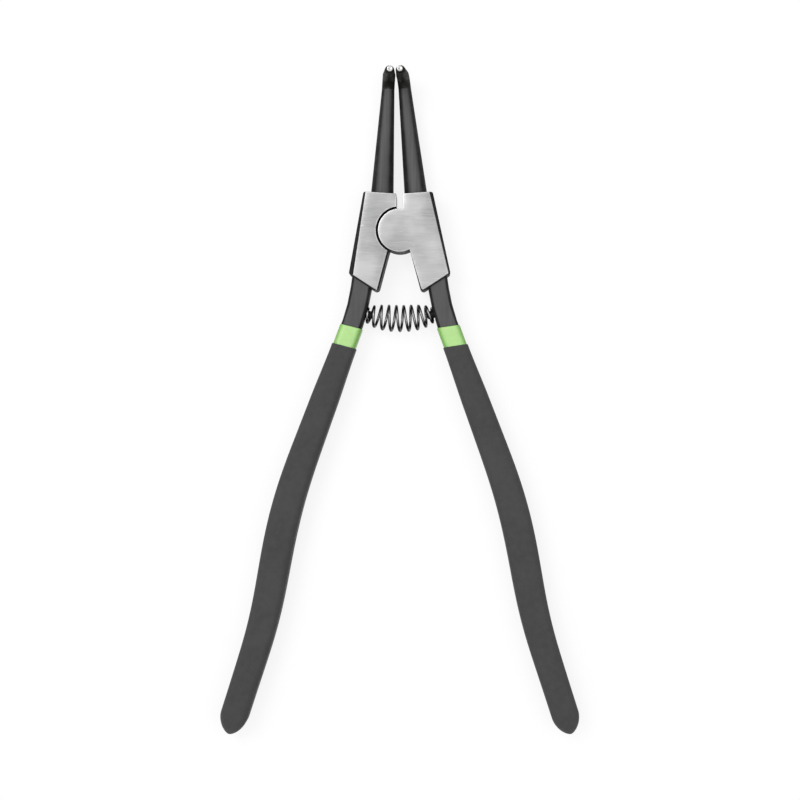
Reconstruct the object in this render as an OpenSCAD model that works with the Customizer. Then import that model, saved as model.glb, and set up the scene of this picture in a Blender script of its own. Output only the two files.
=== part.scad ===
// Circlip pliers for outside rings, with tips bent through 90 degrees and dipped handles.
// The pliers lie on their back: +X to the right, +Y towards the tips, +Z up to the front face.
// The origin is on the pivot axis, in the rear ground face. Sizes are in millimetres.

/* [Joint] */
// Thickness across the joint, from the rear ground face to the front one
joint_t = 13; // [12.5:0.25:14.5]
// Radius of the round lap boss on each half
boss_r = 10.2; // [9.6:0.1:10.8]
// Gap between a boss and the round step that it turns in
boss_gap = 0.95; // [0.5:0.05:1.2]
// Gap between the two laps
lap_gap = 0.1; // [0.06:0.02:0.2]
// Radius of the pivot rivet
pivot_r = 4; // [3.4:0.1:4.6]
// Running clearance between the rivet and the turning half
pivot_clear = 0.05; // [0.02:0.01:0.1]
// Thickness of the rivet's flush head
pivot_head_t = 1.5; // [1:0.1:2.2]

/* [Head] */
// Height of the head's outer top corner above the pivot
head_top = 18.2; // [17.5:0.1:20]
// Half width of the head at its top corners
head_top_w = 17; // [16:0.1:18.5]
// How much slimmer the half with the front boss is at its top corner
front_slim = 1.4; // [0:0.1:2]
// Half width of the head at its lower shoulders
head_low_w = 24; // [22.5:0.25:26]
// Drop of the lower shoulders below the pivot
head_low = 20.3; // [19:0.1:22]
// Half width between the lower inner points
point_w = 10.2; // [9.5:0.1:11.5]
// Drop of the lower inner points below the pivot
point_low = 29.2; // [28:0.1:31]
// Half width of the notch between the jaws
notch_w = 1.5; // [1:0.1:2]
// Width of the outer bevel at its upper end, on the face with the round step
bevel_top = 1.2; // [0.8:0.1:1.6]
// Width of that bevel at its lower end
bevel_low = 2.4; // [1.6:0.1:3]
// Width of the outer bevel at its upper end, on the face with the boss
boss_bevel_top = 1.7; // [1:0.1:2.2]
// Width of that bevel at its lower end
boss_bevel_low = 1.1; // [0.8:0.1:2]
// Width of the bevel on the step to the tang
bevel_step = 0.7; // [0.4:0.1:1.4]
// Width of the bevel on the inner lower edge
bevel_in = 0.9; // [0.5:0.1:1.2]

/* [Jaws and tips] */
// Distance of the bent tips from the pivot
tip_reach = 72.9; // [68:0.5:82]
// Radius of a jaw where it leaves the head
jaw_r = 5.4; // [4.6:0.1:5.7]
// Half height of a jaw's flats, as a share of its radius
jaw_flat = 0.82; // [0.76:0.02:0.9]
// Radius of a jaw at its bend
bend_r = 3; // [2.7:0.1:3.2]
// Radius of the bend's centre line
bend_turn = 5.4; // [4.6:0.1:6.2]
// Half spacing of the jaws at the bend
bend_half = 3.5; // [3.4:0.1:4]
// Height of a bent tip's shoulder above the front ground face
tip_rise = 9; // [8:0.5:13]
// Radius of that shoulder
shoulder_r = 2.2; // [2:0.1:2.4]
// Radius of the bright tip pins
pin_r = 1.35; // [1.2:0.05:1.6]
// Length of a tip pin that stands out of its shoulder
pin_out = 3; // [2.5:0.25:5]
// Gap between the two shoulders with the pliers at rest
tip_gap = 0.6; // [0.4:0.05:0.9]
// Lean of both jaws to the left of the head's midline
jaw_lean = 1.4; // [0:0.1:2]

/* [Handles] */
// Length of a handle along its curve, from the head to its end
handle_len = 223; // [205:1:240]
// Width of the steel tang near the head
tang_w = 9.7; // [9.2:0.1:10.5]
// Width of the tang at the hand's widest place
tang_mid_w = 11.7; // [10.5:0.1:12.5]
// Width of the tang near its end
tang_end_w = 10.2; // [9.5:0.1:11]
// Corner radius of the tang
tang_round = 1.9; // [1.6:0.1:2.8]
// Thickness of the inner plastic dip
dip_in = 0.5; // [0.4:0.05:0.7]
// Thickness of the outer plastic dip
dip_out = 0.9; // [0.7:0.05:1.1]
// Gap kept between the tang and the dips
dip_gap = 0.03; // [0.02:0.01:0.06]
// Length of bare tang between the head and the inner dip
neck_len = 21; // [19:0.5:24]
// Length of the inner dip that shows
band_len = 9.7; // [6:0.1:14]
// Slope of the handle where it leaves the head
slope_root = 8; // [6:0.5:10]
// Slope of the upper handle
slope_upper = 20.3; // [18:0.1:22]
// Slope of the handle at its waist
slope_waist = 10.2; // [8:0.1:13]
// Slope of the handle's end
slope_end = 17.8; // [14:0.1:20]

/* [Spring] */
// Diameter of the spring wire
wire_d = 1.3; // [1.1:0.1:1.5]
// Radius of the wire's centre line in the middle of the barrel
coil_mid_r = 5.85; // [5.2:0.05:6]
// Radius of the wire's centre line at the ends
coil_end_r = 2.8; // [2.6:0.1:3]
// Number of turns
turns = 9; // [8:1:11]
// Distance of the spring's pegs below the head, along the tang
peg_at = 13.2; // [12.5:0.1:14]
// Clearance between the end coil and its peg
peg_clear = 0.25; // [0.2:0.05:0.4]
// Length of a peg that stands out of its seat
peg_out = 4; // [3:0.1:5]

/* [Hidden] */
$fn = 72;
// Heights of the laps
mid = joint_t / 2;
lap_low = mid - lap_gap / 2;
lap_high = mid + lap_gap / 2;
recess_r = boss_r + boss_gap;
// The rivet's head, what covers its blind end in the front half, and its bevelled edge
pivot_head_over = 2.2;
pivot_cover = 1.5;
pivot_edge = 0.5;
pivot_head_r = pivot_r + pivot_head_over;
pivot_top = joint_t - pivot_cover;
// How far cuts run past the faces that they open
cut_over = 1;
// Corners of the head, for the right half, and their roundings
notch_drop = 1;
notch_round = 0.5;
top_round = 1;
low_round = 1.2;
point_round = 1.6;
c_notch = [notch_w, head_top - notch_drop];
c_low = [head_low_w, -head_low];
c_point = [point_w, -point_low];
c_crotch = [0.51 * boss_r, -1.03 * boss_r];
// The jaw leaves the head between its top corners, nearer to the notch. The bar and the bent tip
// run a short lead into the bend, a hair slimmer than it is.
jaw_shift = 1.25;
jaw_lead = 0.5;
jaw_foot = [(notch_w + head_top_w) / 2 - jaw_shift, head_top - notch_drop];
jaw_dir = [bend_half, tip_reach] - jaw_foot;
jaw_toe = atan2(-jaw_dir[0], jaw_dir[1]);
jaw_run = norm(jaw_dir) - bend_turn;
jaw_in = 5;
// Length of the block that cuts a bevel
cut_len = 2.4 * (head_top + head_low);
// The bend's plane tilts about the jaw, so that the bent tip leans inward to its shoulder
tip_top_z = joint_t + tip_rise;
shoulder_x = shoulder_r + tip_gap / 2;
tip_in = bend_half - shoulder_x;
tip_toe = atan2(tip_in / cos(jaw_toe), tip_top_z - mid);
tip_len = (tip_top_z - mid) / cos(tip_toe) - bend_turn;
// The pin sits a little inward of the shoulder's middle, with a small collar at its root
pin_shift = 0.22;
pin_deep = 7;
pin_edge = 0.4;
collar = 0.5;
collar_over = 0.35;
collar_deep = 0.2;
pin_at = [shoulder_x - pin_shift, tip_reach - tip_in * tan(jaw_toe)];
// The tang fills what the two dips leave of the joint's thickness
dip_all = dip_in + dip_out;
tang_t = joint_t - 2 * dip_all;
tang_len = handle_len - dip_all;
grip_from = neck_len + band_len;
end_len = 9;
dip_lip = 0.35;
// Places along the handle where its slope changes
root_early = 2;
root_late = 3;
root_turn = [-root_early, neck_len + root_late];
waist_turn = [0.35, 0.64] * handle_len;
end_turn = [0.64, 0.85] * handle_len;
widest = 0.55 * handle_len;
// The handle's curve, stepped out from a point inside the head
root_in = 6;
root_out = 3;
root_shift = 0.9;
step = 1;
root_mid = (c_low + c_point) / 2 + [root_shift, 0];
root_dir = [sin(slope_root), -cos(slope_root)];
steps = ceil((handle_len + root_in) / step) + 2;
curve = [
    for (i = 0, p = root_mid - root_in * root_dir; i <= steps;
        p = p + step * heading(i * step - root_in), i = i + 1) p
];
// The spring's seats: the flat foot of a spot face in each tang's inner edge
peg_r = coil_end_r - wire_d / 2 - peg_clear;
peg_in = 4;
peg_edge = 0.8;
seat_wide = 0.5;
seat_r = coil_end_r + wire_d / 2 + seat_wide;
seat_deep = 0.6;
seat_open = 4;
seat_slope = slope(peg_at);
seat_back = [-cos(seat_slope), -sin(seat_slope)];
seat = along(peg_at) + seat_back * (tang_width(peg_at) / 2 - seat_deep);
// The spring's axis is an arc that leaves both seats square to them
arc_r = seat[0] / sin(seat_slope);
arc_y = seat[1] + seat[0] / tan(seat_slope);
coil_lift = 0.1;
arc_half = seat_slope - atan((wire_d / 2 + coil_lift) / arc_r);
// Share of the pitch that is left at the end coils
coil_close = 0.45;

function unit(v) = v / norm(v);
function clip(t) = min(1, max(0, t));
function ease(t) = clip(t) * clip(t) * (3 - 2 * clip(t));
function between(s, span) = ease((s - span[0]) / (span[1] - span[0]));

// Slope of the handle's curve, in degrees from straight down, at a distance s from the head
function slope(s) = slope_root
    + (slope_upper - slope_root) * between(s, root_turn)
    + (slope_waist - slope_upper) * between(s, waist_turn)
    + (slope_end - slope_waist) * between(s, end_turn);
function heading(s) = [sin(slope(s)), -cos(slope(s))];
function along(s) =
    let (t = (s + root_in) / step, i = floor(t)) curve[i] * (1 - t + i) + curve[i + 1] * (t - i);
function tang_width(s) = s < widest
    ? tang_w + (tang_mid_w - tang_w) * between(s, [grip_from, widest])
    : tang_mid_w + (tang_end_w - tang_mid_w) * between(s, [widest, handle_len - end_len]);

// A rounded rectangle of points, w wide and t thick
function section(w, t, r) = [
    for (q = [0:3], a = [0:30:90])
        let (sx = (q == 0 || q == 3) ? 1 : -1, sz = q < 2 ? 1 : -1)
        [sx * (w / 2 - r) + r * cos(90 * q + a), sz * (t / 2 - r) + r * sin(90 * q + a)]
];
// One ring of the handle at s, grown by off from the tang and shrunk by k
function ring(s, off, k) = let (p = along(s), h = slope(s)) [
    for (c = section(tang_width(s) + 2 * off, tang_t + 2 * off, tang_round + off))
        [p[0] + k * c[0] * cos(h), p[1] + k * c[0] * sin(h), mid + k * c[1]]
];
// Rings from s0 to the rounded end of a layer that lies off outside the tang
function layer(s0, off, n, lip) =
    let (end = tang_len + off, s1 = end - end_len - off)
    concat(
        lip > 0 ? [ring(s0, off - lip, 1)] : [],
        [for (i = [0:n]) ring(s0 + lip + (s1 - s0 - lip) * i / n, off, 1)],
        [for (a = [20:16:84])
            ring(s1 + (end - s1) * sin(a), off, pow(1 - pow(sin(a), 1.5), 0.8))]
    );
function tip_of(off) = let (p = along(tang_len + off)) [p[0], p[1], mid];

// Sides between rings of m points each, counted from point number k
function sides(rings, m, k, flip) = [
    for (i = [0:rings - 2], j = [0:m - 1], h = [0, 1])
        let (
            a = k + i * m + j,
            b = k + i * m + (j + 1) % m,
            f = h == 0 ? [a, b, b + m] : [a, b + m, a + m]
        )
        flip ? [f[2], f[1], f[0]] : f
];
// A fan from the ring that starts at point k to the single point p
function fan(k, m, p, flip) = [
    for (j = [0:m - 1]) flip ? [p, k + (j + 1) % m, k + j] : [k + j, k + (j + 1) % m, p]
];
function flat(lists) = [for (l = lists, p = l) p];

// A corner of an outline between the points a and b, rounded with radius r
function corner(a, p, b, r) =
    let (
        u = unit(a - p),
        v = unit(b - p),
        half = acos(u * v) / 2,
        c = p + unit(u + v) * r / sin(half),
        from = p + u * r / tan(half) - c,
        to = p + v * r / tan(half) - c,
        a0 = atan2(from[1], from[0]),
        turn = atan2(from[0] * to[1] - from[1] * to[0], from * to)
    )
    [for (i = [0:5]) c + r * [cos(a0 + turn * i / 5), sin(a0 + turn * i / 5)]];

// Cuts the bevel off the edge from a to b at the height z, wa and wb wide at its ends.
// inward points from the edge into the plate, and up is 1 on the front face and -1 on the rear.
module bevel(a, b, wa, wb, inward, z, up) {
    p = concat(a + inward * wa, z);
    q = concat(b + inward * wb, z);
    low = concat(a, z - up * 0.8 * wa);
    x = unit(q - p);
    face = unit(cross(q - p, low - p));
    n = face[2] * up > 0 ? face : -face;
    y = cross(n, x);
    o = (p + q) / 2;
    multmatrix([
        [x[0], y[0], n[0], o[0]],
        [x[1], y[1], n[1], o[1]],
        [x[2], y[2], n[2], o[2]],
        [0, 0, 0, 1]
    ])
        translate([-cut_len / 2, -cut_len / 4, 0])
            cube([cut_len, cut_len / 2, joint_t]);
}

// The flat head of one half, without its lap boss
module head_plate(up) {
    c_top = [head_top_w - (up > 0 ? front_slim : 0), head_top];
    outer_in = unit([-(head_top + head_low), -(head_low_w - c_top[0])]);
    step_in = unit([-(point_low - head_low), head_low_w - point_w]);
    inner_in = unit([point_low + c_crotch[1], point_w - c_crotch[0]]);
    difference() {
        linear_extrude(height = joint_t)
            polygon(concat(
                corner([notch_w, 0], c_notch, c_top, notch_round),
                corner(c_notch, c_top, c_low, top_round),
                corner(c_top, c_low, c_point, low_round),
                corner(c_low, c_point, c_crotch, point_round),
                [c_crotch, [0.3 * boss_r, -0.4 * boss_r], [notch_w, 0]]
            ));
        for (f = [[joint_t, 1], [0, -1]]) {
            if (f[1] == up)
                bevel(c_top, c_low, boss_bevel_top, boss_bevel_low, outer_in, f[0], f[1]);
            else
                bevel(c_top, c_low, bevel_top, bevel_low, outer_in, f[0], f[1]);
            bevel(c_low, c_point, bevel_step, bevel_step, step_in, f[0], f[1]);
        }
        bevel(c_crotch, c_point, bevel_in, bevel_in, inner_in, up > 0 ? 0 : joint_t, -up);
    }
}

// One jaw: a tapered bar with flats, the bend, and the bent tip up to its shoulder
module jaw() {
    taper = (jaw_r - bend_r) / jaw_run;
    flat_tilt = atan(taper * jaw_flat);
    translate([jaw_foot[0], jaw_foot[1], mid])
        rotate([0, 0, jaw_toe]) {
            difference() {
                translate([0, -jaw_in, 0])
                    rotate([-90, 0, 0])
                        cylinder(
                            h = jaw_run + jaw_in + jaw_lead,
                            r1 = jaw_r + taper * jaw_in,
                            r2 = bend_r - jaw_lead / 8
                        );
                for (up = [1, -1])
                    translate([0, 0, up * jaw_flat * jaw_r])
                        rotate([-up * flat_tilt, 0, 0])
                            translate([-jaw_r * 2, -jaw_in * 2, up > 0 ? 0 : -jaw_r])
                                cube([jaw_r * 4, jaw_run + jaw_in * 4, jaw_r]);
            }
            rotate([0, -tip_toe, 0]) {
                translate([0, jaw_run, bend_turn])
                    rotate([90, 0, 90])
                        rotate([0, 0, -90])
                            rotate_extrude(angle = 90)
                                translate([bend_turn, 0])
                                    circle(r = bend_r);
                translate([0, jaw_run + bend_turn, bend_turn - jaw_lead])
                    cylinder(h = tip_len + jaw_lead, r1 = bend_r - jaw_lead / 8, r2 = shoulder_r);
            }
        }
}

// A tip pin: its shank in the jaw, a collar that flares into the shoulder, and its free end
module tip_pin() {
    translate([pin_at[0], pin_at[1], tip_top_z])
        rotate_extrude()
            polygon([
                [0, -pin_deep], [pin_r, -pin_deep], [pin_r, -collar_deep],
                [pin_r + collar_over, -collar_deep], [pin_r, collar],
                [pin_r, pin_out - pin_edge], [pin_r - pin_edge, pin_out], [0, pin_out]
            ]);
}

module tang() {
    m = 16;
    rings = concat([ring(-root_in, 0, 1), ring(0, 0, 1)], layer(root_out, 0, 26, 0));
    n = len(rings);
    polyhedron(
        points = concat(flat(rings), [tip_of(0)]),
        faces = concat(
            sides(n, m, 0, true),
            [[for (j = [0:m - 1]) j]],
            fan((n - 1) * m, m, n * m, true)
        )
    );
}

// A dip from s0 down to the handle's end, between two distances from the tang
module dip(s0, off_in, off_out, n) {
    m = 16;
    outer = layer(s0, off_out, n, dip_lip);
    inner = layer(s0, off_in, n, 0);
    a = len(outer);
    b = len(inner);
    k = a * m;
    polyhedron(
        points = concat(flat(outer), flat(inner), [tip_of(off_out), tip_of(off_in)]),
        faces = concat(
            sides(a, m, 0, true),
            fan((a - 1) * m, m, k + b * m, true),
            sides(b, m, k, false),
            fan(k + (b - 1) * m, m, k + b * m + 1, false),
            [for (j = [0:m - 1]) [(j + 1) % m, k + (j + 1) % m, k + j]],
            [for (j = [0:m - 1]) [j, (j + 1) % m, k + j]]
        )
    );
}

// Places a shape drawn along +Z at the right seat, pointing out of the tang
module at_seat() {
    translate([seat[0], seat[1], mid])
        rotate([0, -90, seat_slope])
            children();
}

module peg() {
    at_seat()
        rotate_extrude()
            polygon([
                [0, -peg_in], [peg_r, -peg_in], [peg_r, peg_out - peg_edge],
                [peg_r - peg_edge, peg_out], [0, peg_out]
            ]);
}

// One half, drawn on the right. up is 1 for the half with its boss in front, -1 for the other.
module half_tool(up) {
    difference() {
        union() {
            head_plate(up);
            translate([0, 0, up > 0 ? lap_high : 0])
                cylinder(h = lap_low, r = boss_r);
            rotate([0, 0, up * jaw_lean])
                jaw();
            tang();
        }
        translate([0, 0, up > 0 ? lap_high - joint_t : lap_low])
            cylinder(h = joint_t, r = recess_r);
        rotate([0, 0, up * jaw_lean])
            tip_pin();
        at_seat() {
            cylinder(h = seat_open, r = seat_r);
            translate([0, 0, -peg_in])
                cylinder(h = peg_in + cut_over, r = peg_r);
        }
        if (up > 0)
            translate([0, 0, mid])
                cylinder(h = pivot_top - mid, r = pivot_r);
        else {
            translate([0, 0, -cut_over])
                cylinder(h = mid + 2 * cut_over, r = pivot_r + pivot_clear);
            translate([0, 0, -cut_over])
                cylinder(h = pivot_head_t + cut_over + lap_gap / 2, r = pivot_head_r + pivot_clear);
        }
    }
}

module right_half() {
    color([0.55, 0.55, 0.56])
        half_tool(1);
}

module left_half() {
    color([0.5, 0.5, 0.51])
        mirror([1, 0, 0])
            half_tool(-1);
}

module pivot_rivet() {
    color([0.6, 0.6, 0.61])
        rotate_extrude()
            polygon([
                [0, 0], [pivot_head_r, 0], [pivot_head_r, pivot_head_t],
                [pivot_r, pivot_head_t], [pivot_r, pivot_top - pivot_edge],
                [pivot_r - pivot_edge, pivot_top], [0, pivot_top]
            ]);
}

// Wire centre of the barrel spring at v, which runs from -1 at the left seat to 1 at the right
function coil_r(v) = coil_mid_r - (coil_mid_r - coil_end_r) * pow(abs(v), 3);
function coil_at(v) = (v - (1 - coil_close) * v * pow(abs(v), 6) / 7) / (1 - (1 - coil_close) / 7);
function coil_out(v) =
    let (t = arc_half * coil_at(v), p = 180 * turns * (v + 1))
    [-sin(t) * cos(p), cos(t) * cos(p), sin(p)];
function wire_at(v) =
    let (t = arc_half * coil_at(v))
    [arc_r * sin(t), arc_y - arc_r * cos(t), mid] + coil_r(v) * coil_out(v);

module return_spring() {
    m = 8;
    n = 16 * turns;
    rings = [
        for (i = [0:n])
            let (
                v = 2 * i / n - 1,
                o = coil_out(v),
                d = unit(wire_at(v + 0.001) - wire_at(v - 0.001)),
                e = unit(cross(d, o)),
                f = cross(e, d)
            )
            [for (j = [0:m - 1])
                wire_at(v) + wire_d / 2 * (f * cos(360 * j / m) + e * sin(360 * j / m))]
    ];
    color([0.12, 0.12, 0.12])
        polyhedron(
            points = flat(rings),
            faces = concat(
                sides(n + 1, m, 0, true),
                [[for (j = [0:m - 1]) j]],
                [[for (j = [m - 1:-1:0]) n * m + j]]
            )
        );
}

module right_spring_peg() {
    color([0.3, 0.3, 0.3])
        peg();
}

module left_spring_peg() {
    color([0.3, 0.3, 0.3])
        mirror([1, 0, 0])
            peg();
}

module right_tip() {
    color([0.75, 0.75, 0.76])
        rotate([0, 0, jaw_lean])
            tip_pin();
}

module left_tip() {
    color([0.75, 0.75, 0.76])
        rotate([0, 0, jaw_lean])
            mirror([1, 0, 0])
                tip_pin();
}

module right_inner_dip() {
    color([0.6, 0.85, 0.45])
        dip(neck_len, dip_gap, dip_in, 20);
}

module left_inner_dip() {
    color([0.6, 0.85, 0.45])
        mirror([1, 0, 0])
            dip(neck_len, dip_gap, dip_in, 20);
}

module right_grip() {
    color([0.2, 0.2, 0.21])
        dip(grip_from, dip_in + dip_gap, dip_all, 22);
}

module left_grip() {
    color([0.2, 0.2, 0.21])
        mirror([1, 0, 0])
            dip(grip_from, dip_in + dip_gap, dip_all, 22);
}

right_half();
left_half();
pivot_rivet();
return_spring();
right_spring_peg();
left_spring_peg();
right_tip();
left_tip();
right_inner_dip();
left_inner_dip();
right_grip();
left_grip();
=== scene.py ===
import math

import bmesh
import bpy
from bpy.props import FloatProperty, FloatVectorProperty, IntProperty, PointerProperty
from mathutils import Matrix, Vector
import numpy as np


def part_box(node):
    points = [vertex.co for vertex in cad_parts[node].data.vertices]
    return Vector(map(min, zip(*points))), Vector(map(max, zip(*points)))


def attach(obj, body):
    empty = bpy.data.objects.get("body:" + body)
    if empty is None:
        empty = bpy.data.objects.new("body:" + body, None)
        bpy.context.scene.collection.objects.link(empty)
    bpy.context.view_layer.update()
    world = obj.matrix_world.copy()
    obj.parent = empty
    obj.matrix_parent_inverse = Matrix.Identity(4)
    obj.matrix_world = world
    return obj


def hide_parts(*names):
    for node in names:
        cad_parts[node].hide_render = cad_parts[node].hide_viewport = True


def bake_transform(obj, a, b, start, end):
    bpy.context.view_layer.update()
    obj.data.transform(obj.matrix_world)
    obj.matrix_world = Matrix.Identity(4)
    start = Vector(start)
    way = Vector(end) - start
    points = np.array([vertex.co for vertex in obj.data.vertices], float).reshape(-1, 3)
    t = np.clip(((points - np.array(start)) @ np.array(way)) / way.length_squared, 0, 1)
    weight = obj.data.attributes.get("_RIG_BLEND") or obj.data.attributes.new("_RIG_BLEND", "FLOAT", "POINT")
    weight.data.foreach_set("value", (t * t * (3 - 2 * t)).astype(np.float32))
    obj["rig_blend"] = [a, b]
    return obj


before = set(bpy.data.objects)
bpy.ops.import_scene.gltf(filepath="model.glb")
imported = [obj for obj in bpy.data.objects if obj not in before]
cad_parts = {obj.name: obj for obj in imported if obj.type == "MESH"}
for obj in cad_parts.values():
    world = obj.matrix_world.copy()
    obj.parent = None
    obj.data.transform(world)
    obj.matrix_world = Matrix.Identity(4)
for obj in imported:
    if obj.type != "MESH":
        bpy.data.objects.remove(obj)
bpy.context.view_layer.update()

bl_info = {
    "name": "Circlip Pliers",
    "version": (1, 0, 0),
    "blender": (4, 5, 0),
    "location": "View3D > Sidebar > Pliers",
    "description": "Ground and blackened steel, barrel spring and dipped handles",
    "category": "Object",
}

FRONT, REAR = "front_half", "rear_half"
SIDES = (("right", FRONT, 1.0), ("left", REAR, -1.0))
JOINT_LOW, JOINT_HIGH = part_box("pivot_rivet")[0].z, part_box("right_grip")[1].z
WELD = 3e-6  # joins the corners of the solids' faces


# Sizes and colours

def length(name, description, mm, low, high):
    """A length in the sidebar, given here in millimetres."""
    return FloatProperty(name=name, description=description, default=mm / 1000, min=low / 1000,
                         max=high / 1000, precision=5, unit="LENGTH")


def slope(name, description, degrees):
    """A slope in the sidebar, given here in degrees."""
    return FloatProperty(name=name, description=description, default=math.radians(degrees),
                         min=0.0, max=0.6, unit="ROTATION")


def colour(name, description, value):
    """A linear colour."""
    return FloatVectorProperty(name=name, description=description, default=value, min=0.0,
                               max=1.0, size=3, subtype="COLOR")


class PliersSizes(bpy.types.PropertyGroup):
    """Sizes of the pieces that are drawn here and not taken from the solids."""
    edge_round: length("Edge rounding", "Rounding of the ground and forged edges", 0.18, 0.05, 0.4)
    inner_bevel: length("Inner bevel", "Bevel on the right half's lower inner edge", 0.5, 0.2, 0.9)
    joint_t: FloatProperty(name="Joint thickness", description="Rear to front ground face",
                           default=JOINT_HIGH - JOINT_LOW, unit="LENGTH")
    boss_r: length("Boss radius", "Round lap boss on each half", 10.2, 9.6, 10.8)
    notch_w: length("Notch", "Half width of the notch between the jaws", 1.5, 1, 2)
    head_top: length("Head top", "Top corner of the head above the pivot", 18.2, 17, 20)
    head_top_w: length("Head width", "Half width of the head at its top", 17, 16, 18.5)
    tip_reach: length("Tip reach", "Bent tips above the pivot", 72.9, 68, 82)
    jaw_r: length("Jaw radius", "Jaw where it leaves the head", 5.4, 4.6, 5.7)
    jaw_flat: FloatProperty(name="Jaw flat", description="Half height of a jaw over its radius",
                            default=0.82, min=0.7, max=0.95)
    bend_r: length("Bend radius", "Jaw at its bend", 3, 2.7, 3.2)
    bend_turn: length("Bend", "Centre line of the bend", 5.4, 4.6, 6.2)
    bend_half: length("Jaw spacing", "Half spacing of the jaws at the bend", 3.5, 3.4, 4)
    tip_rise: length("Tip height", "Shoulder of a tip above the front face", 9, 8, 13)
    shoulder_r: length("Shoulder", "Radius of a tip's shoulder", 2.2, 2, 2.4)
    tip_gap: length("Tip gap", "Gap between the shoulders", 0.6, 0.4, 0.9)
    jaw_lean: slope("Jaw lean", "Lean of both jaws to the left", 1.4)
    pin_r: length("Tip pin", "Radius of a tip pin", 1.35, 1.2, 1.6)
    pin_out: length("Pin length", "Tip pin out of its shoulder", 3, 2.5, 5)
    root_x: length("Root offset", "Handle root to the side of the pivot", 18.0, 12, 25)
    root_y: length("Root drop", "Handle root below the pivot", 24.75, 18, 32)
    handle_len: length("Handle length", "Length along the handle's curve", 223, 200, 240)
    tang_w: length("Tang width", "Width of the tang near the head", 9.7, 9, 11)
    tang_mid_w: length("Widest tang", "Width of the tang in the palm", 11.7, 10, 13)
    tang_end_w: length("End of tang", "Width of the tang near its end", 10.2, 9, 12)
    tang_round: length("Tang corner", "Corner radius of the tang", 1.9, 1, 3)
    dip_in: length("Inner dip", "Thickness of the green dip", 0.5, 0.3, 0.8)
    dip_out: length("Outer dip", "Thickness of the grey dip", 0.9, 0.6, 1.2)
    left_lips: slope("Left lips", "Lean of the dips' upper lips on the left handle", 5.5)
    right_lips: slope("Right lips", "Lean of the dips' upper lips on the right handle", 11.5)
    dip_thin: length("Thin lip", "What the grey dip lacks at its upper lip", 0.5, 0, 0.55)
    dip_gap: length("Dip gap", "Gap under each dip", 0.03, 0.01, 0.1)
    neck_len: length("Bare neck", "Bare tang above the green dip", 21, 18, 25)
    band_len: length("Green band", "Green dip that shows", 9.7, 5, 15)
    slope_root: slope("Root slope", "Slope where the handle leaves the head", 8)
    slope_upper: slope("Upper slope", "Slope of the upper handle", 20.3)
    slope_waist: slope("Waist slope", "Slope at the waist", 10.2)
    slope_end: slope("End slope", "Slope of the handle's end", 17.8)
    wire_d: length("Wire", "Diameter of the spring wire", 1.3, 0.8, 1.6)
    coil_mid_r: length("Barrel radius", "Wire centre in the middle of the spring", 5.85, 4, 7)
    coil_end_r: length("End coil radius", "Wire centre at the ends of the spring", 2.8, 2, 4)
    peg_at: length("Spring seat", "Seat of the spring below the head", 13.2, 11, 15)
    seat_deep: length("Spot face", "Depth of the spring's seat in the tang", 0.6, 0.2, 1)
    turns: IntProperty(name="Turns", description="Turns of the spring", default=9, min=6, max=14)


class PliersColours(bpy.types.PropertyGroup):
    """Colours of the finishes."""
    ground: colour("Ground steel", "Satin faces of the joint", (0.385, 0.385, 0.388))
    # Flats of the forging: worn grey by rubbing and painted lighter as if lit from above.
    black_flat_rubbed_and_lit: colour("Rubbed black", "Flats of the blackened forging", (0.082, 0.0805, 0.082))
    # Sides of the forging: deep black, partly painted shade.
    black_side_and_shade: colour("Deep black", "Sides of the blackened forging", (0.0095, 0.0095, 0.0099))
    black_tip: colour("Tip black", "Bent tips, a little olive from oil", (0.0090, 0.0100, 0.0074))
    # The wire colour is a painted highlight on the wire's crown; its sides are painted near black as shade.
    wire: colour("Spring wire", "Shine of the oiled black wire", (0.34, 0.34, 0.345))
    bright: colour("Bright steel", "Ground ends of the tip pins", (0.62, 0.62, 0.612))
    green: colour("Green vinyl", "Inner dip", (0.475, 0.775, 0.275))
    # Sides of the green dip are painted deeper as shade, and its level faces paler as painted sheen.
    green_flank_shade: colour("Deep green", "Sides of the inner dip", (0.24, 0.56, 0.085))
    grey: colour("Grey vinyl", "Outer dip", (0.051, 0.051, 0.052))
    floor: colour("Floor", "Floor under the pliers", (0.20, 0.20, 0.20))


# The handle's curve, in the right half's place

def ease(t):
    """Goes from 0 to 1 with a soft start and end."""
    t = min(1.0, max(0.0, t))
    return t * t * (3 - 2 * t)


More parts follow.
